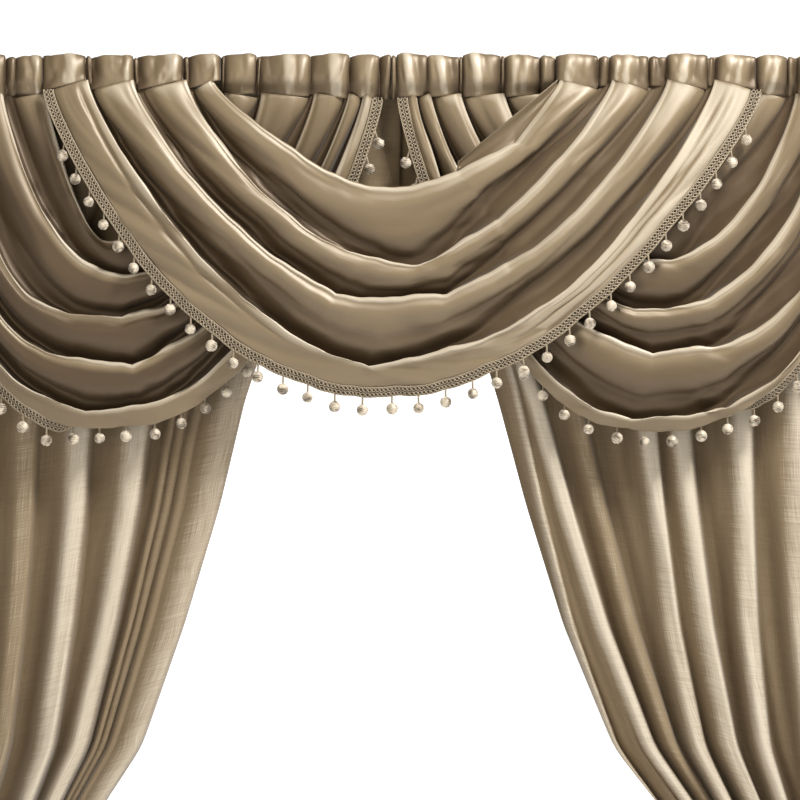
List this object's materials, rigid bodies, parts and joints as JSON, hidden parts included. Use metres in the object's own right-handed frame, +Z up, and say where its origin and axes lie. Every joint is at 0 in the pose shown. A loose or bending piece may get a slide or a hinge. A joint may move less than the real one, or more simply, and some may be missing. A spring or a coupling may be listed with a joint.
{
  "type": "swag and tail drape",
  "caption": "Overlapping gathered satin swags edged with ball fringe, hung by rod pockets over curtain panels tied back to the sides.",
  "frame": {"origin": "middle of the top edge of the swags' rod pockets, over the middle of the rod", "axes": "+Z up, X along the rod, -Y towards the room and +Y towards the wall"},
  "size_m": [1.6174, 0.1552, 2.1332],
  "materials": {
    "satin": "smooth satin with a soft sheen",
    "satin_band": "smooth satin, gathered",
    "braid": "woven gimp braid with thread balls",
    "panel_cloth": "slubbed plain weave with a slight sheen"
  },
  "bodies": {
    "root": {"swag_centre": "satin", "swag_left": "satin", "swag_right": "satin", "pocket_left_outer": "satin_band", "pocket_centre_left": "satin_band", "pocket_left_inner": "satin_band", "pocket_right_inner": "satin_band", "pocket_centre_right": "satin_band", "pocket_right_outer": "satin_band", "trim_centre": "braid", "trim_left": "braid", "trim_right": "braid", "panel_left": "panel_cloth", "panel_right": "panel_cloth", "panel_pocket_left": "panel_cloth", "panel_pocket_right": "panel_cloth", "tieback_left": "panel_cloth", "tieback_right": "panel_cloth"}
  },
  "joints": []
}
